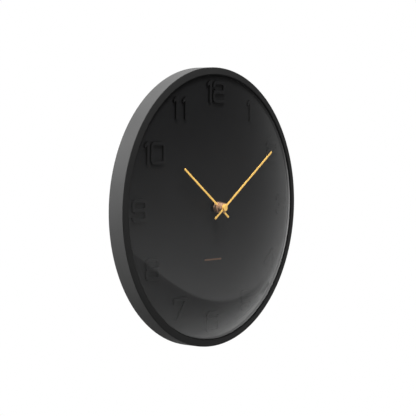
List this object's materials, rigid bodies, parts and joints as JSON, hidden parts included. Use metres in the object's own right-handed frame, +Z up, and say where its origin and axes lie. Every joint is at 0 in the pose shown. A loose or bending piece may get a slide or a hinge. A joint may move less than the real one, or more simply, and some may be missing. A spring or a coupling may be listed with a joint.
{
  "type": "wall clock",
  "caption": "Round wall clock in a black steel drum with a domed glass, raised numerals on a black dial, gold bar hands and a quartz movement.",
  "frame": {"origin": "centre of the keyhole's round part, on the back panel's outer face, where the wall screw holds the clock", "axes": "+Y into the wall, -Y towards the viewer along the dial's axis, +Z up, +X to the viewer's right; the dial's axis is 130 mm below the origin"},
  "size_m": [0.35, 0.0621, 0.35],
  "materials": {
    "case_paint": "satin black paint on steel",
    "bezel_paint": "satin black paint on steel",
    "gasket_rubber": "matte black rubber",
    "lens_glass": "clear glass",
    "dial_paint": "matte black paint",
    "numeral_paint": "matte black, same tone as the dial",
    "copper_foil": "copper-coloured foil",
    "fibre_board": "black fibre board",
    "pad_rubber": "soft black pad",
    "washer_rubber": "black rubber",
    "nut_black": "blackened steel",
    "housing_plastic": "moulded black plastic, fine texture",
    "cover_plastic": "moulded black plastic, fine texture",
    "plate_plastic": "natural plastic",
    "arbor_brass": "turned brass",
    "gear_plastic": "white acetal",
    "magnet": "sintered magnet",
    "knob_plastic": "white acetal",
    "motor_iron": "annealed sheet iron",
    "bobbin_plastic": "white nylon",
    "copper_wire": "enamelled copper wire",
    "board_lacquer": "green lacquer",
    "crystal_can": "plated can",
    "chip_resin": "black resin drop",
    "cell_jacket": "plain printed jacket with metal ends",
    "contact_steel": "nickel-plated spring steel",
    "hand_gold": "gold-coloured lacquered metal",
    "boss_gold": "polished gold-coloured metal"
  },
  "bodies": {
    "case": {"case_drum": "case_paint", "front_bezel": "bezel_paint", "lens_gasket": "gasket_rubber", "glass_lens": "lens_glass", "dial_plate": "dial_paint", "hour_numerals": "numeral_paint", "dial_mark": "copper_foil", "dial_support_ring": "fibre_board", "wall_pads": "pad_rubber", "dial_washer": "washer_rubber", "nut_washer": "nut_black", "fixing_nut": "nut_black", "movement_housing": "housing_plastic", "rear_cover": "cover_plastic", "train_plate": "plate_plastic", "stator": "motor_iron", "coil_core": "motor_iron", "coil_bobbin": "bobbin_plastic", "coil_winding": "copper_wire", "circuit_board": "board_lacquer", "quartz_crystal": "crystal_can", "clock_chip": "chip_resin", "battery": "cell_jacket", "positive_contact": "contact_steel", "negative_contact": "contact_steel"},
    "minute": {"minute_arbor": "arbor_brass", "minute_hand": "hand_gold", "minute_boss": "boss_gold", "cap_nut": "boss_gold"},
    "hour": {"hour_wheel": "gear_plastic", "hour_hand": "hand_gold", "hour_boss": "boss_gold"},
    "reduction": {"reduction_wheel": "gear_plastic"},
    "knob": {"setting_knob": "knob_plastic"},
    "rotor": {"rotor_pinion": "gear_plastic", "rotor_magnet": "magnet"},
    "intermediate": {"intermediate_wheel": "gear_plastic"},
    "second": {"second_wheel": "gear_plastic"},
    "third": {"third_wheel": "gear_plastic"},
    "centre": {"centre_wheel": "gear_plastic"}
  },
  "joints": [
    {"name": "minute_turn", "type": "hinge", "parent": "case", "child": "minute", "pos_m": [0, 0, -0.13], "axis": [0, 1, 0], "continuous": true},
    {"name": "hour_turn", "type": "hinge", "parent": "case", "child": "hour", "pos_m": [0, 0, -0.13], "axis": [0, 1, 0], "continuous": true},
    {"name": "reduction_turn", "type": "hinge", "parent": "case", "child": "reduction", "pos_m": [-0.0084, 0, -0.13], "axis": [0, 1, 0], "continuous": true},
    {"name": "knob_turn", "type": "hinge", "parent": "case", "child": "knob", "pos_m": [-0.01629, 0, -0.13287], "axis": [0, 1, 0], "continuous": true},
    {"name": "rotor_turn", "type": "hinge", "parent": "case", "child": "rotor", "pos_m": [-0.00651, 0, -0.12088], "axis": [0, 1, 0], "continuous": true},
    {"name": "intermediate_turn", "type": "hinge", "parent": "case", "child": "intermediate", "pos_m": [-0.0046, 0, -0.12614], "axis": [0, 1, 0], "continuous": true},
    {"name": "second_turn", "type": "hinge", "parent": "case", "child": "second", "pos_m": [0, 0, -0.13], "axis": [0, 1, 0], "continuous": true},
    {"name": "third_turn", "type": "hinge", "parent": "case", "child": "third", "pos_m": [0.00846, 0, -0.12692], "axis": [0, 1, 0], "continuous": true},
    {"name": "centre_turn", "type": "hinge", "parent": "case", "child": "centre", "pos_m": [0, 0, -0.13], "axis": [0, 1, 0], "continuous": true}
  ],
  "couplings": [
    {"joint": "hour_turn", "follows": "minute_turn", "ratio": 0.083333},
    {"joint": "reduction_turn", "follows": "minute_turn", "ratio": -0.33333},
    {"joint": "knob_turn", "follows": "minute_turn", "ratio": 1},
    {"joint": "intermediate_turn", "follows": "rotor_turn", "ratio": -0.16667},
    {"joint": "second_turn", "follows": "rotor_turn", "ratio": 0.033333},
    {"joint": "third_turn", "follows": "rotor_turn", "ratio": -0.0044444},
    {"joint": "centre_turn", "follows": "rotor_turn", "ratio": 0.00055556}
  ]
}
